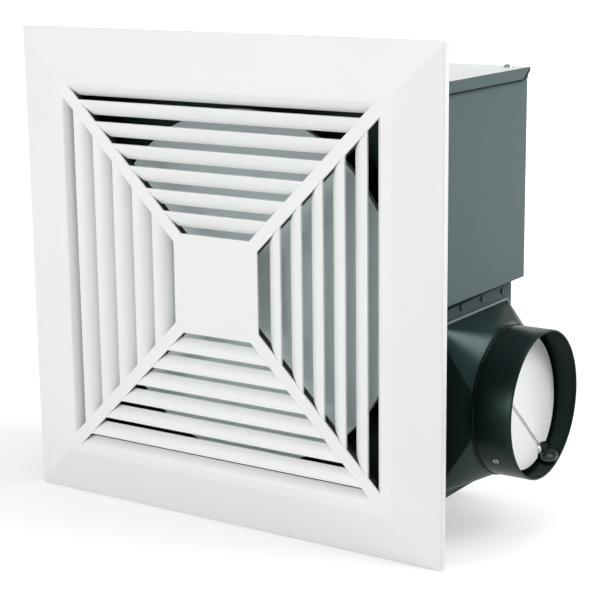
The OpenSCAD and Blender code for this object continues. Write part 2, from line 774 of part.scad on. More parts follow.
module motor_front_cap() color(galvanised) {
    difference() {
        motor_cup(ear_y, bearing_len);
        cap_slots(ear_y);
    }
    for (a = stud_angles) rotate([0, -a, 0]) difference() {
        wall_y(ear_y, ear_t) union() {
            span([motor_r - cup_bevel - motor_wall, -ear_half], [stud_circle_r, ear_half]);
            translate([stud_circle_r, 0]) circle(ear_half);
        }
        rod_y([stud_circle_r, ear_y - cut, 0], grommet_neck_r + fit, ear_t + 2 * cut);
    }
}

module motor_rear_cap() color(galvanised) difference() {
    motor_cup(motor_end_y, bearing_len);
    cap_slots(motor_end_y);
}

module motor_stator() color(bronze) difference() {
    union() {
        rod_y([0, core_y, 0], motor_r - motor_wall - 0.1, core_len);
        rod_y([0, core_y - winding_past, 0], winding_r, core_len + 2 * winding_past);
    }
    rod_y([0, core_y - winding_past - cut, 0], winding_in_r, winding_past + cut);
    rod_y([0, core_y - cut, 0], stator_bore_r, core_len + 2 * cut);
    rod_y([0, core_y + core_len, 0], winding_in_r, winding_past + cut);
}

module motor_bearings() color(bronze)
    for (y = [ear_y, motor_end_y - bearing_len]) difference() {
        rod_y([0, y, 0], bearing_r, bearing_len);
        rod_y([0, y - cut, 0], shaft_r + shaft_play, bearing_len + 2 * cut);
    }

module motor_grommets() color(black_rubber)
    for (a = stud_angles) rotate([0, -a, 0]) difference() {
        union() {
            rod_y([stud_circle_r, plate_back, 0], grommet_r, ear_y - plate_back);
            rod_y([stud_circle_r, plate_back, 0], grommet_neck_r, ear_y - plate_back + ear_t + eps);
            rod_y([stud_circle_r, ear_y + ear_t, 0], grommet_r, grommet_flange_t);
        }
        rod_y([stud_circle_r, plate_back - cut, 0], stud_r + fit, 2 * stud_len);
    }

module motor_nuts() color(bright_steel)
    for (a = stud_angles) rotate([0, -a, 0]) difference() {
        translate([stud_circle_r, ear_y + ear_t + grommet_flange_t, 0]) rotate([-90, 0, 0])
            cylinder(h = motor_nut_t, r = motor_nut_r, $fn = 6);
        rod_y([stud_circle_r, ear_y, 0], stud_r + fit, 2 * stud_len);
    }

module motor_shaft() color(bright_steel)
    rod_y([0, shaft_front_y, 0], shaft_r, shaft_end_y - shaft_front_y);

module motor_rotor() color(galvanised) difference() {
    union() {
        rod_y([0, core_y, 0], stator_bore_r - rotor_gap, core_len);
        rod_y([0, core_y - rotor_ring, 0], stator_bore_r - 3, core_len + 2 * rotor_ring);
    }
    rod_y([0, core_y - rotor_ring - cut, 0], shaft_r + fit, core_len + 2 * (rotor_ring + cut));
}

// Hub and back disc of the fan wheel, dished round the hub
module wheel_disc() color(galvanised) turned_y() polygon([
    [shaft_r + fit, hub_front_y], [hub_r, hub_front_y], [hub_r, wheel_back_y - dish_w],
    [hub_r + dish_w, wheel_back_y], [wheel_r, wheel_back_y], [wheel_r, wheel_back_y + ring_t],
    [hub_r + dish_w - ring_t / 2, wheel_back_y + ring_t],
    [hub_r - ring_t / 2, wheel_back_y - dish_w + ring_t],
    [hub_r - hub_wall, wheel_back_y + ring_t], [shaft_r + fit, wheel_back_y + ring_t]
]);

// Points of one side of a wheel blade, curved forward by its lean
function blade_side(thick_a, steps = 4) = [
    for (i = [0:steps])
        polar(wheel_inner_r + blade_inset + (wheel_blade_depth - 2 * blade_inset) * i / steps,
              wheel_lean * pow(i / steps, 2) + thick_a)
];

// Blades curved forward in the sense of rotation, riveted to a front ring
module wheel_blades() color(galvanised) {
    wall_y(wheel_front_y, ring_t) difference() {
        circle(wheel_r);
        circle(wheel_inner_r);
    }
    for (k = [0:wheel_blades_n - 1]) rotate([0, -360 * k / wheel_blades_n, 0])
        wall_y(wheel_front_y + eps, wheel_w - eps)
            polygon(concat(blade_side(0), reversed(blade_side(wheel_blade_a))));
}

module wheel_nut() color(bright_steel) difference() {
    translate([0, wheel_back_y + ring_t, 0]) rotate([-90, 0, 0]) cylinder(h = nut_t, r = nut_r, $fn = 6);
    rod_y([0, wheel_back_y, 0], shaft_r + fit, 3 * nut_t);
}

// The wiring

// The motor lead, from the motor cap along the orifice plate to the terminals
module motor_lead() color(black_rubber) {
    out = atan2(lead_z, lead_x);
    start = polar(motor_r, out);
    bend = 10;
    low_y = orifice_y - bend - 0.5;
    turn = polar(norm([lead_x, lead_z]) - bend, out);
    route = concat(
        [[start[0], low_y, start[1]], [turn[0], low_y, turn[1]]],
        [for (a = [15:15:75]) let (p = polar(bend * sin(a), out))
            [turn[0] + p[0], low_y + bend * (1 - cos(a)), turn[1] + p[1]]],
        [[lead_x, low_y + bend, lead_z], [lead_x, terminal_y - terminal_l / 2 - gap, lead_z]]
    );
    wire(route, lead_r, 10);
}

module lead_bush() color(black_rubber) difference() {
    union() {
        rod_y([lead_x, orifice_y, lead_z], lead_bush_r, sheet + eps);
        rod_y([lead_x, orifice_back, lead_z], lead_bush_r + lead_bush_rim, lead_bush_h);
    }
    rod_y([lead_x, orifice_y - cut, lead_z], lead_r + 0.2, sheet + lead_bush_h + 2 * cut);
}

module terminal_block() color(pale_plastic) {
    x = partition_x + sheet;
    difference() {
        wall_x(x, terminal_h) span([terminal_y - terminal_l / 2, lead_z - terminal_w / 2],
                                   [terminal_y + terminal_l / 2, lead_z + terminal_w / 2]);
        for (i = [-1:1])
            wall_x(x + terminal_h - terminal_step, terminal_step + cut)
                translate([terminal_y + i * terminal_l / 3, lead_z])
                    square([terminal_cell, terminal_w + 2 * cut], center = true);
    }
}

module terminal_screws() color(bright_steel)
    for (i = [-1:1], side = [-1, 1])
        rod_x([partition_x + sheet + terminal_h - terminal_step, terminal_y + i * terminal_l / 3,
               lead_z + side * terminal_screw_off], terminal_screw_r, terminal_screw_h);

module run_capacitor() color(pale_plastic)
    rod_z([capacitor_x, terminal_y, capacitor_z - capacitor_l / 2], capacitor_r, capacitor_l);

// Strap round the capacitor, with its foot on the partition
module capacitor_clip() color(galvanised) difference() {
    union() {
        rod_z([capacitor_x, terminal_y, capacitor_z - clip_w / 2], capacitor_r + clip_t, clip_w);
        wall_z(capacitor_z - clip_w / 2, clip_w)
            span([partition_x + sheet, terminal_y - clip_w / 2],
                 [partition_x + sheet + 4, terminal_y + clip_w / 2]);
    }
    rod_z([capacitor_x, terminal_y, capacitor_z - clip_w / 2 - cut], capacitor_r + fit, clip_w + 2 * cut);
}

module cable_bush() color(black_rubber) difference() {
    union() {
        rod_y([cable_x, panel_back_y, cable_z], cable_neck_r, sheet + eps);
        rod_y([cable_x, wall_back, cable_z], cable_flange_r, cable_flange_out);
        rod_y([cable_x, panel_back_y - cable_flange_in, cable_z], cable_flange_r, cable_flange_in);
    }
    rod_y([cable_x, panel_back_y - cable_flange_in - cut, cable_z], cable_r,
          cable_flange_in + sheet + cable_flange_out + 2 * cut);
}

module earth_screw() color(bronze) {
    rod_x([partition_x + sheet, terminal_y, earth_z], earth_washer_r, earth_washer_t);
    rod_x([partition_x + sheet, terminal_y, earth_z], earth_head_r, earth_washer_t + earth_head_h);
}

// The duct adapter

// Solid loft from the square end to the round end, shrunk by a wall
module loft(shrink, past) hull() {
    translate([adapter_x - past, mouth_y - mouth_w / 2 + shrink, collar_z - mouth_h / 2 + shrink])
        cube([adapter_flange_t + past, mouth_w - 2 * shrink, mouth_h - 2 * shrink]);
    rod_x([collar_x, collar_y, collar_z], collar_r - shrink - 0.1, past + eps, $fn = 48);
}

module duct_adapter() color(dark_paint) {
    stop_x = axle_x + flap_face - (axle_drop + flap_r) * sin(flap_tilt) - stop_t - cut;
    difference() {
        union() {
            wall_x(adapter_x, adapter_flange_t) flange_plate();
            loft(0, 0);
            rod_x([collar_x - eps, collar_y, collar_z], collar_r + bead_h, bead_w);
            rod_x([collar_x, collar_y, collar_z], collar_r, collar_len);
        }
        loft(adapter_wall, cut);
        rod_x([collar_x - eps, collar_y, collar_z], bore_r, collar_len + cut);
        at_collar() rod_y([0, -collar_r - cut, -axle_drop], eyelet_r + fit, collar_d + 2 * cut);
        adapter_rods(adapter_x - cut, adapter_screw_r + fit, adapter_flange_t + 2 * cut);
    }
    intersection() {
        translate([stop_x, collar_y - stop_w / 2, collar_z + bore_r - 5]) cube([stop_t, stop_w, stop_w]);
        collar_core(bore_r + adapter_wall / 2);
    }
}

// Flange outline with rounded corners
module flange_plate() {
    low = [flange_near, flange_low];
    high = [flange_far, flange_top];
    r = flange_corner_r;
    span(low + [r, 0], high - [r, 0]);
    span(low + [0, r], high - [0, r]);
    for (y = [low[0] + r, high[0] - r], z = [low[1] + r, high[1] - r]) translate([y, z]) circle(r);
}

module adapter_gasket() color(black_rubber) difference() {
    wall_x(half, gasket_t) flange_plate();
    wall_x(half - cut, gasket_t + 2 * cut)
        span([orifice_back, outlet_low_z], [mouth_y + mouth_w / 2 - sheet, outlet_top_z]);
    adapter_rods(half - cut, adapter_screw_r + fit, gasket_t + 2 * cut);
}

// Screws through the flange, the gasket and the casing's wall
module adapter_screws() color(dark_paint) {
    adapter_rods(inner - screw_past, adapter_screw_r, adapter_face - inner + screw_past + eps);
    adapter_rods(adapter_face, adapter_head_r, adapter_head_h);
}

// A rod along X at each of the adapter's screws
module adapter_rods(x, r, l) {
    for (y = adapter_screw_y) rod_x([x, y, adapter_screw_z], r, l);
    for (z = adapter_side_z) rod_x([x, flange_near + flange_front / 2, z], r, l);
}

// The shutter

// Eyelets pressed into the collar, each with a flat outer end flush with its wall
module pivot_eyelets() color(bright_steel) difference() {
    intersection() {
        at_collar() rod_y([0, -collar_r - cut, -axle_drop], eyelet_r, collar_d + 2 * cut);
        at_collar() for (side = [-1, 1]) rotate([side * (90 + eyelet_a), 0, 0])
            translate([0, 0, eyelet_out / 2]) cube([4 * eyelet_r, 6 * eyelet_r, eyelet_out], center = true);
    }
    collar_core(bore_r - eyelet_lip);
    at_collar() rod_y([0, -collar_r - cut, -axle_drop], eyelet_bore_r, collar_d + 2 * cut);
}

// Moulded block that holds the axle's far end, riveted to the bore by its foot
module hinge_block() color(dark_paint) difference() {
    intersection() {
        at_collar() {
            rod_y([0, block_in, -axle_drop], block_r, collar_r);
            wall_y(block_in, collar_r) hull() {
                translate([2, -axle_drop - 1.5]) circle(2.6, $fn = 24);
                translate([foot_x, -axle_drop - 3]) circle(3.2, $fn = 24);
            }
            rotate([foot_a - 90, 0, 0]) rod_z([foot_x, 0, bore_r - foot_t], foot_r, 2 * foot_t);
        }
        collar_core(bore_r - 2 * fit);
    }
    at_collar() rod_y([0, 0, -axle_drop], eyelet_bore_r, collar_r);
    difference() {
        at_collar() rod_y([0, 0, -axle_drop], eyelet_r + gap / 2, collar_r);
        collar_core(bore_r - eyelet_lip - gap / 2);
    }
}

// The white disc, hung on the axle by two sleeves behind its lower edge
module shutter_flap() color(white_plastic) at_flap() difference() {
    union() {
        difference() {
            rod_x([flap_face, 0, axle_drop], flap_r, flap_t);
            translate([-cut, knuckle_out + 0.1, -flap_r]) cube([10, flap_r, flap_r + notch_top]);
        }
        translate([flap_face - flap_ring_h, 0, axle_drop]) rotate([0, 90, 0]) difference() {
            cylinder(h = flap_ring_h + eps, r = flap_ring_r);
            translate([0, 0, -cut]) cylinder(h = flap_ring_h + 2 * cut, r = flap_ring_r - flap_ring_w);
        }
        for (y = [-knuckle_out, knuckle_in])
            rod_y([0, y, 0], knuckle_r, knuckle_out - knuckle_in);
    }
    rod_y([0, -flap_r, 0], axle_r + fit, 2 * flap_r);
}

module flap_axle() color(bright_steel)
    at_collar() rod_y([0, -axle_half, -axle_drop], axle_r, 2 * axle_half);

// Torsion spring: a coil on the axle and an arm across the shutter's face
module flap_spring() color(bright_steel) at_flap() {
    face = flap_face + flap_t + gap + flap_wire_r;
    steps = 12 * coil_turns;
    arm_dir = unit([0, -39.2, 29.1]);
    coil = [
        for (i = [0:steps]) let (a = 90 + 360 * i / 12)
            [coil_r * cos(a), coil_start + coil_pitch * (coil_turns - i / 12), coil_r * sin(a)]
    ];
    root = [face, coil_start - 1, coil_r + 2];
    wire(concat(coil, [[face, coil_start - 0.2, coil_r + 0.8], root, root + flap_arm_len * arm_dir]),
         flap_wire_r, 6);
}

casing_shell();
top_panel();
back_panel();
wiring_cover();
wiring_partition();
orifice_plate();
scroll_wrap();
motor_plate();
plate_legs();
leg_screws();
motor_front_cap();
motor_rear_cap();
motor_stator();
motor_bearings();
motor_grommets();
motor_nuts();
motor_lead();
lead_bush();
motor_shaft();
motor_rotor();
wheel_disc();
wheel_blades();
wheel_nut();
terminal_block();
terminal_screws();
run_capacitor();
capacitor_clip();
cable_bush();
earth_screw();
panel_screws();
spring_brackets();
duct_adapter();
adapter_gasket();
adapter_screws();
pivot_eyelets();
hinge_block();
shutter_flap();
flap_axle();
flap_spring();
louvre_grille();
cross_brace();
grille_spring_left();
grille_spring_right();
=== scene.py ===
"""Looks of the ceiling exhaust fan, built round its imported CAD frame."""
import json
import math

import bmesh
import bpy
from mathutils import Matrix, Vector


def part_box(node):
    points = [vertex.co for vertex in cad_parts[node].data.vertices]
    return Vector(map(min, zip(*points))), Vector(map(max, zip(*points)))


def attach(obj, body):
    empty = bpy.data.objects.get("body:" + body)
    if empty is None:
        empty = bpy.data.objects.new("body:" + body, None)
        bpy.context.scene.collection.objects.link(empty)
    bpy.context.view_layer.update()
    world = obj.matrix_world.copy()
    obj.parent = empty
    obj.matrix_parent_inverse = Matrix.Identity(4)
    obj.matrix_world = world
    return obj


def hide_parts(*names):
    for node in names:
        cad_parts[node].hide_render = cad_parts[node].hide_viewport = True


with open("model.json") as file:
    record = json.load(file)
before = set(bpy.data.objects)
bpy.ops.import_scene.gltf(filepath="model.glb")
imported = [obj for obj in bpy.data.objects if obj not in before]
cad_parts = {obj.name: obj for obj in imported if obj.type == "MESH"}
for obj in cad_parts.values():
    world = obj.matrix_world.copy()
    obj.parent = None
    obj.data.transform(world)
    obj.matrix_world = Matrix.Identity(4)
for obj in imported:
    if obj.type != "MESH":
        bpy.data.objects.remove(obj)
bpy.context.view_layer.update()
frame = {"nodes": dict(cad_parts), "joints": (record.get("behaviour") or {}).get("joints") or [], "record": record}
NODES = frame["nodes"]
SCENE = bpy.context.scene

# Camera, fitted to the photograph
DOWN = Vector((0.1141, -0.1925, -0.9746))
FORWARD = Vector((-0.5393, 0.8119, -0.2235))
CAMERA_AT = Vector((0.6485, -0.8894, 0.2409))
LENS_MM = 102.3
SENSOR_MM = 36.0
CLIP_START = 0.01


def make_camera():
    data = bpy.data.cameras.new("camera")
    data.lens = LENS_MM
    data.sensor_width = SENSOR_MM
    data.clip_start = CLIP_START
    camera = bpy.data.objects.new("camera", data)
    back = -FORWARD.normalized()
    up = -DOWN.normalized()
    side = up.cross(back).normalized()
    up = back.cross(side)
    turn = Matrix((side, up, back)).transposed()
    camera.matrix_world = Matrix.Translation(CAMERA_AT) @ turn.to_4x4()
    SCENE.collection.objects.link(camera)
    SCENE.camera = camera


make_camera()


# Material nodes
# Most values of a noise node lie between these two
NOISE_RANGE = (0.2, 0.8)
BEVEL_SAMPLES = 6
JOINT_SAMPLES = 8
# Sockets of a mix node that works on colours
MIX_FACTOR = 0
MIX_A = 6
MIX_B = 7
MIX_RESULT = 2


def tint(colour, share):
    return tuple(min(1.0, c * share) for c in colour)


class Shader:
    """A small helper that adds and links nodes of one material."""

    def __init__(self, name):
        self.material = bpy.data.materials.new(name)
        self.material.use_nodes = True
        self.tree = self.material.node_tree
        self.tree.nodes.clear()
        self.output = self.add("ShaderNodeOutputMaterial")
        self.bsdf = self.add("ShaderNodeBsdfPrincipled")
        self.link(self.bsdf, "BSDF", self.output, "Surface")
        self.place = self.add("ShaderNodeTexCoord")

    def add(self, kind, **settings):
        node = self.tree.nodes.new(kind)
        for key, value in settings.items():
            setattr(node, key, value)
        return node

    def link(self, a, out, b, into):
        self.tree.links.new(a.outputs[out], b.inputs[into])

    def noise(self, scale, detail, roughness=0.5):
        node = self.add("ShaderNodeTexNoise")
        node.inputs["Scale"].default_value = scale
        node.inputs["Detail"].default_value = detail
        node.inputs["Roughness"].default_value = roughness
        self.link(self.place, "Object", node, "Vector")
        return node

    def ramp(self, source, out, stops):
        """Colour ramp; stops lists the place and the colour of each stop."""
        node = self.add("ShaderNodeValToRGB")
        bar = node.color_ramp
        while len(bar.elements) > 1:
            bar.elements.remove(bar.elements[-1])
        for i, (at, colour) in enumerate(stops):
            stop = bar.elements[0] if i == 0 else bar.elements.new(at)
            stop.position = at
            stop.color = (*colour, 1.0)
        self.link(source, out, node, "Fac")
        return node

    def vary_colour(self, source, out, colour, tones):
        """Base colour that drifts round one colour; tones lists places and brightness shares."""
        stops = [(at, tint(colour, share)) for at, share in tones]
        tone = self.ramp(source, out, stops)
        self.link(tone, "Color", self.bsdf, "Base Color")

    def vary_gloss(self, source, out, rough, shares, given=NOISE_RANGE):
        """Roughness that runs between two shares of rough, over the given range of the source."""
        node = self.add("ShaderNodeMapRange")
        node.inputs["From Min"].default_value = given[0]
        node.inputs["From Max"].default_value = given[1]
        node.inputs["To Min"].default_value = rough * shares[0]
        node.inputs["To Max"].default_value = rough * shares[1]
        self.link(source, out, node, "Value")
        self.link(node, "Result", self.bsdf, "Roughness")

    def bump(self, source, strength, depth, edge):
        """Fine bump from a noise node; edge is the rounding of sharp edges, in metres."""
        node = self.add("ShaderNodeBump")
        node.inputs["Strength"].default_value = strength
        node.inputs["Distance"].default_value = depth
        self.link(source, "Fac", node, "Height")
        if edge:
            bevel = self.add("ShaderNodeBevel", samples=BEVEL_SAMPLES)
            bevel.inputs["Radius"].default_value = edge
            self.link(bevel, "Normal", node, "Normal")
        self.link(node, "Normal", self.bsdf, "Normal")

    def paint_corner_shade(self, reach, depth):
        """Painted shade: darkens colour and gloss in the corners where sheets meet, within reach metres, by
        ambient occlusion.
        """
        near = self.add("ShaderNodeAmbientOcclusion", samples=JOINT_SAMPLES)
        near.inputs["Distance"].default_value = reach
        power = self.add("ShaderNodeMath", operation="POWER")
        power.inputs[1].default_value = depth
        self.link(near, "AO", power, 0)
        base = self.bsdf.inputs["Base Color"].links[0].from_socket
        painted_shade = self.add("ShaderNodeMix", data_type="RGBA", blend_type="MULTIPLY")
        painted_shade.inputs[MIX_FACTOR].default_value = 1.0
        self.tree.links.new(base, painted_shade.inputs[MIX_A])
        self.link(power, 0, painted_shade, MIX_B)
        self.link(painted_shade, MIX_RESULT, self.bsdf, "Base Color")
        gloss = self.add("ShaderNodeMath", operation="MULTIPLY")
        gloss.inputs[1].default_value = self.bsdf.inputs["Specular IOR Level"].default_value
        self.link(power, 0, gloss, 0)
        self.link(gloss, 0, self.bsdf, "Specular IOR Level")


# Kinds of material
# Tones list a place on the noise and the brightness there, as a share of the colour
PAINT_TONES = ((0.25, 0.94), (0.5, 1.0), (0.75, 1.06))
PAINT_GLOSS = (0.93, 1.07)
PEEL_DEPTH = 0.00002
MOULDED_TONES = ((0.3, 0.985), (0.7, 1.01))
MOULDED_GLOSS = (0.9, 1.1)
GRAIN_DEPTH = 0.00003
ZINC_TONES = ((0.0, 0.9), (0.5, 1.0), (1.0, 1.08))
ZINC_GLOSS = (0.85, 1.2)
ZINC_GRAIN = 0.25
ZINC_EDGE = 0.0004
SPANGLE_SCALE = 140.0
SPANGLE_RANGE = (0.0, 1.0)
DRAWN_TONES = ((0.3, 0.82), (0.6, 1.0), (0.8, 1.1))
DRAWN_GLOSS = (0.8, 1.3)
DRAWN_GRAIN = 0.2
DRAWN_EDGE = 0.0002


def painted(name, colour, rough, edge=0.0006, spec=0.5, wave=0.35, glint=(1.0, 1.0, 1.0)):
    """Paint on sheet metal: faint colour drift, orange peel and softened folds."""
    s = Shader(name)
    drift = s.noise(scale=7.0, detail=2.0)
    s.vary_colour(drift, "Fac", colour, PAINT_TONES)
    haze = s.noise(scale=18.0, detail=2.0)
    s.vary_gloss(haze, "Fac", rough, PAINT_GLOSS)
    s.bsdf.inputs["Specular IOR Level"].default_value = spec
    s.bsdf.inputs["Specular Tint"].default_value = (*glint, 1.0)
    peel = s.noise(scale=900.0, detail=2.0)
    s.bump(peel, wave, PEEL_DEPTH, edge)
    return s


def moulded(name, colour, rough, edge=0.0005, grain=0.3):
    """Moulded plastic or rubber with a fine matt grain."""
    s = Shader(name)
    drift = s.noise(scale=14.0, detail=3.0)
    s.vary_colour(drift, "Fac", colour, MOULDED_TONES)
    haze = s.noise(scale=60.0, detail=4.0)
    s.vary_gloss(haze, "Fac", rough, MOULDED_GLOSS)
    fine = s.noise(scale=1600.0, detail=2.0)
    s.bump(fine, grain, GRAIN_DEPTH, edge)
    return s


def zinc(name, colour, rough):
    """Hot-dip zinc: spangle cells of slightly different tone and gloss."""
    s = Shader(name)
    cells = s.add("ShaderNodeTexVoronoi")
    cells.inputs["Scale"].default_value = SPANGLE_SCALE
    s.link(s.place, "Object", cells, "Vector")
    grey = s.add("ShaderNodeSeparateColor")
    s.link(cells, "Color", grey, "Color")
    s.vary_colour(grey, "Red", colour, ZINC_TONES)
    s.vary_gloss(grey, "Green", rough, ZINC_GLOSS, given=SPANGLE_RANGE)
    s.bsdf.inputs["Metallic"].default_value = 1.0
    fine = s.noise(scale=500.0, detail=4.0)
    s.bump(fine, ZINC_GRAIN, GRAIN_DEPTH, ZINC_EDGE)
    return s


def drawn(name, colour, rough):
    """Wire, screws and turned metal, with fine drawing marks."""
    s = Shader(name)
    drift = s.noise(scale=60.0, detail=4.0, roughness=0.6)
    s.vary_colour(drift, "Fac", colour, DRAWN_TONES)
    s.bsdf.inputs["Metallic"].default_value = 1.0
    marks = s.noise(scale=700.0, detail=3.0, roughness=0.6)
    s.vary_gloss(marks, "Fac", rough, DRAWN_GLOSS)
    s.bump(marks, DRAWN_GRAIN, GRAIN_DEPTH, DRAWN_EDGE)
    return s


# Materials
TEAL = (0.70, 1.0, 0.97)
COVER = painted("casing_grey", (0.048, 0.084, 0.090), rough=0.36, edge=0.0012, spec=0.25, glint=TEAL)
DARK = painted("casing_dark", (0.014, 0.029, 0.028), rough=0.30, edge=0.0012, spec=0.3, glint=TEAL)
# The adapter's one dark paint comes in lit and shaded copies: the collar's darker copy is painted shade, the
# flange's lighter copy painted light, the fold's lighter copy a painted highlight
COLLAR_SHADED = painted("casing_dark_collar_painted_shade", (0.006, 0.014, 0.013), rough=0.30, edge=0.0012, spec=0.2, glint=TEAL)
FLANGE_LIT = painted("casing_dark_flange_painted_light", (0.034, 0.062, 0.064), rough=0.42, edge=0.0012, spec=0.12, glint=TEAL)
FOLD_HIGHLIGHT = painted("casing_dark_fold_painted_highlight", (0.070, 0.105, 0.103), rough=0.36, spec=0.3, glint=TEAL)
SHELL = painted("casing_shell_paint", (0.014, 0.026, 0.026), rough=0.40, spec=0.25, glint=TEAL)
SCREW_PAINT = painted("adapter_screw_paint", (0.050, 0.086, 0.088), rough=0.42, edge=0.0004, spec=0.12,
                      glint=TEAL)
# Painted shadow: near-black paint for the strips put in the shade under the top panel's lip and under the wiring
# cover
SHADOW_STRIP = painted("painted_shadow_strip", (0.006, 0.014, 0.014), rough=0.60, edge=0.0, spec=0.04)
PLATE = painted("plate_grey", (0.78, 0.87, 0.88), rough=0.5)
SHUTTER = painted("shutter_white", (0.89, 0.90, 0.89), rough=0.31, edge=0.0004, wave=0.2)
WHITE = moulded("grille_white", (0.88, 0.90, 0.893), rough=0.42, edge=0.0007)
HINGE = moulded("hinge_plastic", (0.010, 0.018, 0.018), rough=0.32, edge=0.0006)
# Lighter copy of the hinge plastic, a painted highlight on the foot's rim and rivet
HINGE_HIGHLIGHT = moulded("hinge_rim_painted_highlight", (0.060, 0.092, 0.088), rough=0.32, edge=0.0003)
BLACK = moulded("brace_black", (0.012, 0.012, 0.012), rough=0.7, grain=0.4)
RUBBER = moulded("rubber_black", (0.018, 0.018, 0.018), rough=0.62, grain=0.6)
CREAM = moulded("pale_plastic", (0.70, 0.67, 0.58), rough=0.45)
ZINC = zinc("galvanised", (0.60, 0.63, 0.64), rough=0.42)
BRIGHT = drawn("bright_steel", (0.66, 0.67, 0.67), rough=0.28)
WIRE = drawn("spring_wire", (0.86, 0.87, 0.86), rough=0.50)
BRONZE = drawn("bronze", (0.50, 0.27, 0.10), rough=0.35)

# Least upward part of the normal on the top panel's upper face, which is coloured pale as a painted highlight of
# the top light
HIGHLIGHT_FACE_UP = 0.9
TOP_HIGHLIGHT_LOW = (0.62, 0.64, 0.635)
TOP_HIGHLIGHT_HIGH = (0.67, 0.69, 0.685)


def top_finish_with_painted_highlight():
    """Top panel: dark painted lips, and a painted highlight on its upward face, coloured pale in place of the top
    light.
    """
    s = painted("top_panel_painted_highlight", (0.047, 0.082, 0.088), rough=0.36, edge=0.0009, spec=0.25, glint=TEAL)
    split = s.add("ShaderNodeSeparateXYZ")
    s.link(s.place, "Normal", split, "Vector")
    # Painted highlight: faces whose normal points up get the pale tones
    up = s.add("ShaderNodeMath", operation="GREATER_THAN")
    up.inputs[1].default_value = HIGHLIGHT_FACE_UP
    s.link(split, "Z", up, 0)
    dark = s.bsdf.inputs["Base Color"].links[0].from_node
    soft = s.noise(scale=20.0, detail=3.0)
    highlight = s.ramp(soft, "Fac", [(0.3, TOP_HIGHLIGHT_LOW), (0.7, TOP_HIGHLIGHT_HIGH)])
    blend = s.add("ShaderNodeMix", data_type="RGBA")
    s.link(up, 0, blend, MIX_FACTOR)
    s.link(dark, "Color", blend, MIX_A)
    s.link(highlight, "Color", blend, MIX_B)
    s.link(blend, MIX_RESULT, s.bsdf, "Base Color")
    return s


TOP = top_finish_with_painted_highlight()
# Painted shade in the corners, under the top panel's lip and under the cover's overhang
TOP.paint_corner_shade(reach=0.003, depth=3.0)
COVER.paint_corner_shade(reach=0.003, depth=3.0)
DARK.paint_corner_shade(reach=0.004, depth=2.5)
COLLAR_SHADED.paint_corner_shade(reach=0.004, depth=2.5)
FLANGE_LIT.paint_corner_shade(reach=0.005, depth=2.5)

FINISH = {
    "casing_shell": SHELL, "top_panel": TOP, "back_panel": COVER, "wiring_cover": COVER,
    "wiring_partition": ZINC, "orifice_plate": SHELL, "scroll_wrap": ZINC, "motor_plate": PLATE,
    "plate_legs": DARK, "leg_screws": DARK, "motor_front_cap": ZINC, "motor_rear_cap": ZINC,
    "motor_stator": BRONZE, "motor_bearings": BRONZE, "motor_grommets": RUBBER, "motor_nuts": BRIGHT,
    "motor_lead": RUBBER, "lead_bush": RUBBER, "terminal_block": CREAM, "terminal_screws": BRIGHT,
    "run_capacitor": CREAM, "capacitor_clip": ZINC, "cable_bush": RUBBER, "earth_screw": BRONZE,
    "panel_screws": BRIGHT, "spring_brackets": ZINC, "duct_adapter": DARK, "adapter_gasket": RUBBER,
    "adapter_screws": SCREW_PAINT, "pivot_eyelets": BRIGHT, "hinge_block": HINGE,
    "motor_shaft": BRIGHT, "motor_rotor": ZINC, "wheel_disc": ZINC, "wheel_blades": ZINC,
    "wheel_nut": BRIGHT, "shutter_flap": SHUTTER, "flap_axle": BRIGHT, "flap_spring": WIRE,
    "louvre_grille": WHITE, "cross_brace": BLACK, "grille_spring_left": BRIGHT,
    "grille_spring_right": BRIGHT,
}
for name, shader in FINISH.items():
    slots = NODES[name].data.materials
    if not slots:
        slots.append(shader.material)
    for i in range(len(slots)):
        slots[i] = shader.material


# Mesh helpers
def mesh_piece(name, points, faces):
    """Object with a new mesh from its points and faces."""
    mesh = bpy.data.meshes.new(name)
    mesh.from_pydata(points, [], faces)
    piece = bpy.data.objects.new(name, mesh)
    SCENE.collection.objects.link(piece)
    return piece


def skin(name, points, faces, shader):
    """Smooth-shaded piece from its points and faces."""
    piece = mesh_piece(name, points, faces)
    piece.data.polygons.foreach_set("use_smooth", [True] * len(faces))
    piece.data.materials.append(shader.material)
    return piece


def plate(name, outline, low_x, high_x, shader):
    """Flat prism: its outline in Y and Z, from low_x to high_x."""
    count = len(outline)
    points = [(x, y, z) for x in (low_x, high_x) for y, z in outline]
    faces = [tuple(range(count)), tuple(range(2 * count - 1, count - 1, -1))]
    for i in range(count):
        j = (i + 1) % count
        faces.append((i, i + count, j + count, j))
    piece = mesh_piece(name, points, faces)
    shape = bmesh.new()
    shape.from_mesh(piece.data)
    bmesh.ops.recalc_face_normals(shape, faces=shape.faces)
    shape.to_mesh(piece.data)
    shape.free()
    piece.data.materials.append(shader.material)
    return piece


def ring_faces(start, around, sides):
    """Faces of a closed ring whose points stand in sections of the given number of sides."""
    faces = []
    for i in range(around):
        here = start + i * sides
        after = start + (i + 1) % around * sides
        for k in range(sides):
            j = (k + 1) % sides
            faces.append((here + k, here + j, after + j, after + k))
    return faces


def torus(centre, axis, ring, tube, around=48, sides=10):
    """Points and faces of a ring round an axis."""
    turn_to = axis.to_track_quat("Z", "Y")
    points = []
    for i in range(around):
        turn = 2 * math.pi * i / around
        for k in range(sides):
            roll = 2 * math.pi * k / sides
            reach = ring + tube * math.cos(roll)
            local = Vector((reach * math.cos(turn), reach * math.sin(turn), tube * math.sin(roll)))
            points.append(centre + turn_to @ local)
    return points, ring_faces(0, around, sides)


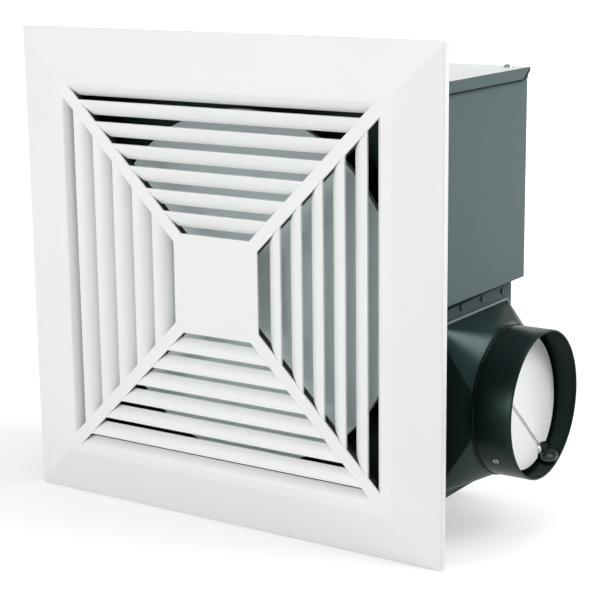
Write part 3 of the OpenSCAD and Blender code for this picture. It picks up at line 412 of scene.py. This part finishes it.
def dome(centre, axis, radius, height, around=32, steps=6):
    """Points and faces of a low round head that stands on a face."""
    turn_to = axis.to_track_quat("Z", "Y")
    points = [centre + turn_to @ Vector((0.0, 0.0, height))]
    for step in range(1, steps + 1):
        lean = math.pi / 2 * step / steps
        reach = radius * math.sin(lean)
        for i in range(around):
            turn = 2 * math.pi * i / around
            local = Vector((reach * math.cos(turn), reach * math.sin(turn), height * math.cos(lean)))
            points.append(centre + turn_to @ local)
    faces = []
    for i in range(around):
        j = (i + 1) % around
        faces.append((0, 1 + i, 1 + j))
        for step in range(steps - 1):
            a = 1 + step * around
            faces.append((a + i, a + around + i, a + around + j, a + j))
    return points, faces


def direction(angle):
    return Vector((math.cos(angle), math.sin(angle)))


# The duct collar's radius and the middle of its circle in Y and Z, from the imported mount
COLLAR_MOUNT = next(m for m in frame["record"]["mounts"] if m["name"] == "duct_collar")
COLLAR_RADIUS = COLLAR_MOUNT["dims"]["r_mm"] / 1000
COLLAR_MIDDLE = Vector(COLLAR_MOUNT["pos_m"][1:])


# Duct adapter
class AdapterForm:
    """The adapter's sizes in metres, its shares and its angles; its CAD node and mount place it."""
    low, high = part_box("duct_adapter")
    flange_t = 0.0012
    wall = 0.0012
    flange_corner = 0.006
    mouth_w = 0.100
    mouth_h = 0.1114
    mouth_y = 0.084
    mouth_corner = 0.0035
    least_corner = 0.0008
    collar_len = 0.0275
    bead = 0.0008
    bead_w = 0.0012
    bead_foot = 0.5
    bead_lean = 0.1
    fold = 0.0022
    fold_reach = 0.8
    soft = 0.0003
    flat_half = math.radians(17)
    flat_share = 0.8
    slope_end = 0.985
    sharp = math.radians(42)


# Lines down each corner and each flat side of the adapter, and rings along each of its stretches
CORNER_STEPS = 14
FLAT_STEPS = 6
FOLD_STEPS = 5
SLOPE_STEPS = 12
COLLAR_STEPS = 6
RIM_STEPS = 6
BORE_STEPS = 5
THROAT_STEPS = 5
# Bands between rings, counted from the flange's back, that carry the flange's lighter copy of the paint (painted
# light) and the fold's painted highlight
FLANGE_LIT_BANDS = (0, 3)
FOLD_HIGHLIGHT_BANDS = (4, 6)
# The creases between the sides and the corners start this many rings before the slope
CREASE_LEAD = 3


def stations():
    """Angle on the collar, side (0 to 3) and edge share of each line that runs down the adapter."""
    out = []
    flat = AdapterForm.flat_half
    corner = math.pi / 2 - 2 * flat
    for side in range(4):
        middle = side * math.pi / 2
        for i in range(FLAT_STEPS + 1):
            out.append((middle - flat + 2 * flat * i / FLAT_STEPS, side, i / FLAT_STEPS))
        for i in range(1, CORNER_STEPS):
            out.append((middle + flat + corner * i / CORNER_STEPS, side, 1 + i / CORNER_STEPS))
    return out


def rectangle_point(half, corner, side, share):
    """Point of a rounded rectangle; share 0 to 1 runs along the side and 1 to 2 round its corner."""
    reach = (half[0], half[1]) if side % 2 == 0 else (half[1], half[0])
    if share <= 1:
        local = Vector((reach[0], (2 * share - 1) * (reach[1] - corner)))
    else:
        turn = (share - 1) * math.pi / 2
        local = Vector((reach[0] - corner, reach[1] - corner)) + corner * direction(turn)
    turn = side * math.pi / 2
    return Vector((local.x * math.cos(turn) - local.y * math.sin(turn),
                   local.x * math.sin(turn) + local.y * math.cos(turn)))


def rectangle_normal(side, share):
    return direction(side * math.pi / 2 + (0 if share <= 1 else (share - 1) * math.pi / 2))


def adapter_shell():
    """Square-to-round pressing with a flange, a bead and a straight collar, as one closed skin."""
    form = AdapterForm
    radius = COLLAR_RADIUS
    axis = COLLAR_MIDDLE
    back_x = form.low.x
    face_x = back_x + form.flange_t
    mouth_x = form.high.x
    root_x = mouth_x - form.collar_len
    middle = Vector((form.mouth_y, axis[1]))
    half = (form.mouth_w / 2, form.mouth_h / 2)
    flange_mid = Vector(((form.low.y + form.high.y) / 2, (form.low.z + form.high.z) / 2))
    flange_half = ((form.high.y - form.low.y) / 2, (form.high.z - form.low.z) / 2)
    fold_share = form.fold / (root_x - face_x)
    lines = stations()

    def round_ring(x, r):
        return [(x, *(axis + r * direction(a))) for a, _, _ in lines]

    def flange_ring(x, inset):
        size = (flange_half[0] - inset, flange_half[1] - inset)
        return [(x, *(flange_mid + rectangle_point(size, form.flange_corner - inset, side, share)))
                for _, side, share in lines]

    def base(inset):
        size = (half[0] - inset, half[1] - inset)
        corner = max(form.mouth_corner - inset, form.least_corner)
        return [middle + rectangle_point(size, corner, side, share) for _, side, share in lines]

    def slope_ring(share_up, inset):
        """Ring between the mouth and the collar; the four sides stay flat and bend up near the collar."""
        ring = []
        top_r = radius - inset
        late = min(1.0, max(0.0, (share_up - form.flat_share) / (1 - form.flat_share)))
        bend = late * late * (3 - 2 * late)
        for (a, side, part), foot in zip(lines, base(inset)):
            head = axis + top_r * direction(a)
            if part < 1:
                middle_a = side * math.pi / 2
                chord = (math.cos(form.flat_half) * direction(middle_a)
                         + math.sin(a - middle_a) * direction(middle_a + math.pi / 2))
                head = (axis + top_r * chord).lerp(head, bend)
            ring.append((face_x + (root_x - face_x) * share_up, *(foot.lerp(head, share_up))))
        return ring

    def fold_ring(t):
        """Quadratic curve from the flange's face into the slope."""
        ring = []
        for (_, side, part), foot, high in zip(lines, base(0), slope_ring(fold_share, 0)):
            start = Vector((face_x, *(foot + form.fold_reach * form.fold * rectangle_normal(side, part))))
            bend = Vector((face_x, *foot))
            ring.append(tuple((1 - t) ** 2 * start + 2 * t * (1 - t) * bend + t * t * Vector(high)))
        return ring

    rings = [flange_ring(back_x, 0), flange_ring(face_x - form.soft, 0), flange_ring(face_x, form.soft)]
    rings += [fold_ring(i / FOLD_STEPS) for i in range(FOLD_STEPS + 1)]
    crease_from = len(rings) - CREASE_LEAD
    rise = form.slope_end - fold_share
    rings += [slope_ring(fold_share + rise * i / SLOPE_STEPS, 0) for i in range(1, SLOPE_STEPS + 1)]
    crease_to = len(rings) - 1

    top = radius + form.bead
    bead_end = root_x + form.bead_w
    bead_profile = ((root_x, radius + form.bead_foot * form.bead),
                    (root_x + form.bead_lean * form.bead_w, top - form.soft),
                    (root_x + form.soft, top), (bead_end - form.soft, top),
                    (bead_end, top - form.soft), (bead_end, radius))
    rings += [round_ring(x, r) for x, r in bead_profile]

    rim = form.wall / 2
    straight = form.collar_len - form.bead_w - rim
    rings += [round_ring(bead_end + straight * i / COLLAR_STEPS, radius) for i in range(1, COLLAR_STEPS + 1)]
    for i in range(1, RIM_STEPS):
        turn = math.pi * i / RIM_STEPS
        rings.append(round_ring(mouth_x - rim * (1 - math.sin(turn)), radius - rim + rim * math.cos(turn)))
    bore = radius - form.wall
    deep = form.collar_len - rim
    rings += [round_ring(mouth_x - rim - deep * i / BORE_STEPS, bore) for i in range(BORE_STEPS + 1)]
    rings += [slope_ring(1 - i / THROAT_STEPS, form.wall) for i in range(1, THROAT_STEPS + 1)]
    rings.append([(back_x, p[1], p[2]) for p in slope_ring(0, form.wall)])

    count = len(lines)
    points = [p for ring in rings for p in ring]
    faces = []
    for k in range(len(rings)):
        a = k * count
        b = (k + 1) % len(rings) * count
        faces += [(a + i, b + i, b + (i + 1) % count, a + (i + 1) % count) for i in range(count)]
    piece = mesh_piece("adapter_pressing", points, faces)
    mesh = piece.data
    shape = bmesh.new()
    shape.from_mesh(mesh)
    bmesh.ops.recalc_face_normals(shape, faces=shape.faces)
    folds = {i for i, (_, _, part) in enumerate(lines) if part in (0, 1)}
    for edge in shape.edges:
        a, b = sorted(v.index for v in edge.verts)
        creased = a % count == b % count and a % count in folds and crease_from <= a // count < crease_to
        edge.smooth = not creased and edge.calc_face_angle(0) < form.sharp
    for face in shape.faces:
        face.smooth = True
    shape.to_mesh(mesh)
    shape.free()
    # The pressing is one paint; its bands get lighter and darker copies as painted light, painted highlight and
    # painted shade
    mesh.materials.append(DARK.material)
    bands = ((FLANGE_LIT, *FLANGE_LIT_BANDS), (FOLD_HIGHLIGHT, *FOLD_HIGHLIGHT_BANDS), (COLLAR_SHADED, crease_to, len(rings)))
    for slot, (shader, first, last) in enumerate(bands, start=1):
        mesh.materials.append(shader.material)
        for face in mesh.polygons[first * count:last * count]:
            face.material_index = slot
    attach(piece, "casing")
    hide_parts("duct_adapter")


adapter_shell()


# Eyelets of the shutter's axle: sizes in metres, and steps round each rim
EYELET_RING = 0.0017
EYELET_TUBE = 0.0004
EYELET_LIFT = 0.0001
EYELET_AROUND = 28
EYELET_SIDES = 8


def eyelet_rims():
    """Rolled rims of the two axle eyelets, and dark discs in their middles as painted shade of the holes, laid on
    the collar's round outside.
    """
    pivot = next(j for j in frame["joints"] if j["name"] == "flap_swing")
    middle_x = pivot["pos_m"][0]
    foot = Vector(pivot["pos_m"][1:]) - COLLAR_MIDDLE
    way = Vector(pivot["axis"][1:])
    half_chord = math.sqrt(COLLAR_RADIUS ** 2 - foot.length_squared)

    def on_collar(heading, turn, reach, lift):
        """Point at a reach and a turn round the eyelet's middle, at a lift off the collar's outside."""
        along = heading + reach * math.sin(turn) / COLLAR_RADIUS
        out = COLLAR_MIDDLE + (COLLAR_RADIUS + lift) * direction(along)
        return (middle_x + reach * math.cos(turn), *out)

    points = []
    faces = []
    holes = []
    hole_faces = []
    turns = [2 * math.pi * i / EYELET_AROUND for i in range(EYELET_AROUND)]
    rolls = [2 * math.pi * k / EYELET_SIDES for k in range(EYELET_SIDES)]
    for sense in (-1, 1):
        end = foot + sense * half_chord * way
        heading = math.atan2(end.y, end.x)
        faces += ring_faces(len(points), EYELET_AROUND, EYELET_SIDES)
        points += [on_collar(heading, turn, EYELET_RING + EYELET_TUBE * math.cos(roll),
                             EYELET_TUBE * math.sin(roll)) for turn in turns for roll in rolls]
        hole_faces.append(tuple(range(len(holes), len(holes) + EYELET_AROUND)))
        holes += [on_collar(heading, turn, EYELET_RING, EYELET_LIFT) for turn in turns]
    rims = skin("eyelet_rims", points, faces, BRIGHT)
    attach(rims, "casing")
    # Painted shade: the holes are dark discs in the black rubber material
    hole_shade = skin("eyelet_hole_shade", holes, hole_faces, RUBBER)
    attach(hole_shade, "casing")


eyelet_rims()


# Hinge foot: its angle round the collar, and sizes in metres
HINGE_FOOT_ANGLE = math.radians(-63.0)
HINGE_FOOT_T = 0.002
HINGE_FOOT_R = 0.006
HINGE_RIM_TUBE = 0.0005
HINGE_RIVET_R = 0.0022
HINGE_RIVET_H = 0.0007


def hinge_details():
    """Rolled rim and rivet head on the hinge block's round foot, inside the collar, coloured lighter than the
    block as a painted highlight.
    """
    bore = COLLAR_RADIUS - AdapterForm.wall
    out = direction(HINGE_FOOT_ANGLE)
    foot = COLLAR_MIDDLE + (bore - HINGE_FOOT_T) * out
    centre = Vector((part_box("hinge_block")[1].x - HINGE_FOOT_R, *foot))
    inward = Vector((0.0, *(-out)))
    points, faces = torus(centre, inward, HINGE_FOOT_R - HINGE_RIM_TUBE, HINGE_RIM_TUBE)
    rim = skin("hinge_foot_rim", points, faces, HINGE_HIGHLIGHT)
    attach(rim, "casing")
    points, faces = dome(centre, inward, HINGE_RIVET_R, HINGE_RIVET_H)
    rivet = skin("hinge_rivet", points, faces, HINGE_HIGHLIGHT)
    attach(rivet, "casing")


hinge_details()


# Painted shadow strips of the casing, in metres: dark strips under the top panel's lip and on the flange under the
# cover
LIP_H = 0.0075
LIP_MITRE = 0.011
LIP_SHEET = 0.001
LIP_SHADOW_W = 0.0007
MITRE_SHADOW_W = 0.0022
SHADOW_CLEAR = 0.0001
FLANGE_SHADOW_INSET = 0.0005
FLANGE_SHADOW_WIDE = 0.0062
FLANGE_SHADOW_NARROW = 0.0034
FLANGE_SHADOW_T = 0.0002


def painted_shadow_strips():
    """Painted shadow: a dark strip under the lip of the top panel and its mitre, and a dark wedge on the flange
    under the cover's overhang.
    """
    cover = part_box("wiring_cover")
    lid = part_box("top_panel")
    lip_low = lid[1].z - LIP_H
    under = lid[1].z - LIP_SHEET
    end = lid[1].y
    mitre = Vector((LIP_MITRE, LIP_H)).normalized()
    out = Vector((mitre.y, -mitre.x)) * MITRE_SHADOW_W
    low_end = Vector((end - LIP_MITRE, lip_low))
    high_end = low_end + mitre * ((under - lip_low) / mitre.y)
    limit = end - SHADOW_CLEAR
    foot = low_end + out + mitre * ((lip_low - LIP_SHADOW_W - low_end.y - out.y) / mitre.y)
    head = low_end + out + mitre * ((limit - low_end.x - out.x) / mitre.x)
    outline = [(SHADOW_CLEAR, lip_low), tuple(low_end), tuple(high_end), (limit, under), tuple(head),
               tuple(foot), (SHADOW_CLEAR, lip_low - LIP_SHADOW_W)]
    # Painted shadow under the lip and its mitre
    bead = plate("lip_shadow_strip", outline, cover[1].x, lid[1].x - SHADOW_CLEAR, SHADOW_STRIP)
    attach(bead, "casing")
    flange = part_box("duct_adapter")
    face = flange[0].x + AdapterForm.flange_t
    top = flange[1].z - SHADOW_CLEAR
    low_y = flange[0].y + FLANGE_SHADOW_INSET
    high_y = flange[1].y - FLANGE_SHADOW_INSET
    outline = [(low_y, top), (high_y, top), (high_y, top - FLANGE_SHADOW_NARROW), (low_y, top - FLANGE_SHADOW_WIDE)]
    # Painted shadow on the flange, wider at the front, under the cover's overhang
    flange_shadow = plate("flange_shadow_strip", outline, face, face + FLANGE_SHADOW_T, SHADOW_STRIP)
    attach(flange_shadow, "casing")


painted_shadow_strips()


# Floor, a grey face that glows towards the camera and in reflections
FLOOR_Z = -0.1652
FLOOR_HALF = 8.0
FLOOR_TONE = 0.56
FLOOR_ROUGH = 0.9
# The glow rises from low to high between these distances from the middle of the scene
GLOW_FROM = 0.5
GLOW_TO = 1.6
GLOW_LOW = 0.5
GLOW_HIGH = 1.0


def make_floor():
    corners = ((-FLOOR_HALF, -FLOOR_HALF), (FLOOR_HALF, -FLOOR_HALF),
               (FLOOR_HALF, FLOOR_HALF), (-FLOOR_HALF, FLOOR_HALF))
    floor = mesh_piece("floor", [(x, y, FLOOR_Z) for x, y in corners], [(0, 1, 2, 3)])
    s = Shader("floor_white")
    s.bsdf.inputs["Base Color"].default_value = (FLOOR_TONE, FLOOR_TONE, FLOOR_TONE, 1.0)
    s.bsdf.inputs["Roughness"].default_value = FLOOR_ROUGH
    s.bsdf.inputs["Specular IOR Level"].default_value = 0.0
    rays = s.add("ShaderNodeLightPath")
    both = s.add("ShaderNodeMath", operation="MAXIMUM")
    s.link(rays, "Is Camera Ray", both, 0)
    s.link(rays, "Is Glossy Ray", both, 1)
    reach = s.add("ShaderNodeVectorMath", operation="LENGTH")
    s.link(s.place, "Object", reach, 0)
    far = s.add("ShaderNodeMapRange", interpolation_type="SMOOTHSTEP")
    far.inputs["From Min"].default_value = GLOW_FROM
    far.inputs["From Max"].default_value = GLOW_TO
    far.inputs["To Min"].default_value = GLOW_LOW
    far.inputs["To Max"].default_value = GLOW_HIGH
    s.link(reach, "Value", far, "Value")
    level = s.add("ShaderNodeMath", operation="MULTIPLY")
    s.link(both, 0, level, 0)
    s.link(far, "Result", level, 1)
    s.bsdf.inputs["Emission Color"].default_value = (1.0, 1.0, 1.0, 1.0)
    s.link(level, 0, s.bsdf, "Emission Strength")
    floor.data.materials.append(s.material)


make_floor()


# World, which is white to the camera and gives a weak fill light
SEEN_STRENGTH = 1.0
FILL_STRENGTH = 0.33


def make_world():
    world = bpy.data.worlds.new("studio")
    SCENE.world = world
    world.use_nodes = True
    tree = world.node_tree
    tree.nodes.clear()

    def white(strength):
        node = tree.nodes.new("ShaderNodeBackground")
        node.inputs["Color"].default_value = (1.0, 1.0, 1.0, 1.0)
        node.inputs["Strength"].default_value = strength
        return node

    out = tree.nodes.new("ShaderNodeOutputWorld")
    seen = white(SEEN_STRENGTH)
    fill = white(FILL_STRENGTH)
    rays = tree.nodes.new("ShaderNodeLightPath")
    mix = tree.nodes.new("ShaderNodeMixShader")
    both = tree.nodes.new("ShaderNodeMath")
    both.operation = "MAXIMUM"
    tree.links.new(rays.outputs["Is Camera Ray"], both.inputs[0])
    tree.links.new(rays.outputs["Is Transmission Ray"], both.inputs[1])
    tree.links.new(both.outputs[0], mix.inputs[0])
    tree.links.new(fill.outputs[0], mix.inputs[1])
    tree.links.new(seen.outputs[0], mix.inputs[2])
    tree.links.new(mix.outputs[0], out.inputs["Surface"])


make_world()


# Lights
def area_light(name, at, target, size, power):
    data = bpy.data.lights.new(name, "AREA")
    data.shape = "RECTANGLE"
    data.size, data.size_y = size
    data.energy = power
    lamp = bpy.data.objects.new(name, data)
    way = (Vector(target) - Vector(at)).normalized()
    lamp.matrix_world = Matrix.Translation(at) @ way.to_track_quat("-Z", "Y").to_matrix().to_4x4()
    SCENE.collection.objects.link(lamp)


area_light("front", at=(-0.8, -2.95, 0.4), target=(0.0, 0.0, 0.0), size=(1.8, 1.8), power=61.0)
area_light("back", at=(-1.5, 2.5, 0.8), target=(0.1, 0.0, 0.0), size=(2.0, 1.4), power=7.0)
area_light("top", at=(0.2, 0.3, 2.6), target=(0.0, 0.0, 0.0), size=(2.4, 2.4), power=32.0)
area_light("right", at=(2.0, 0.7, 1.7), target=(0.1, 0.05, 0.0), size=(1.2, 1.2), power=39.0)
area_light("edge", at=(1.2, 2.6, 0.6), target=(0.17, 0.08, -0.05), size=(0.8, 0.8), power=14.0)

SCENE.view_settings.view_transform = "Standard"
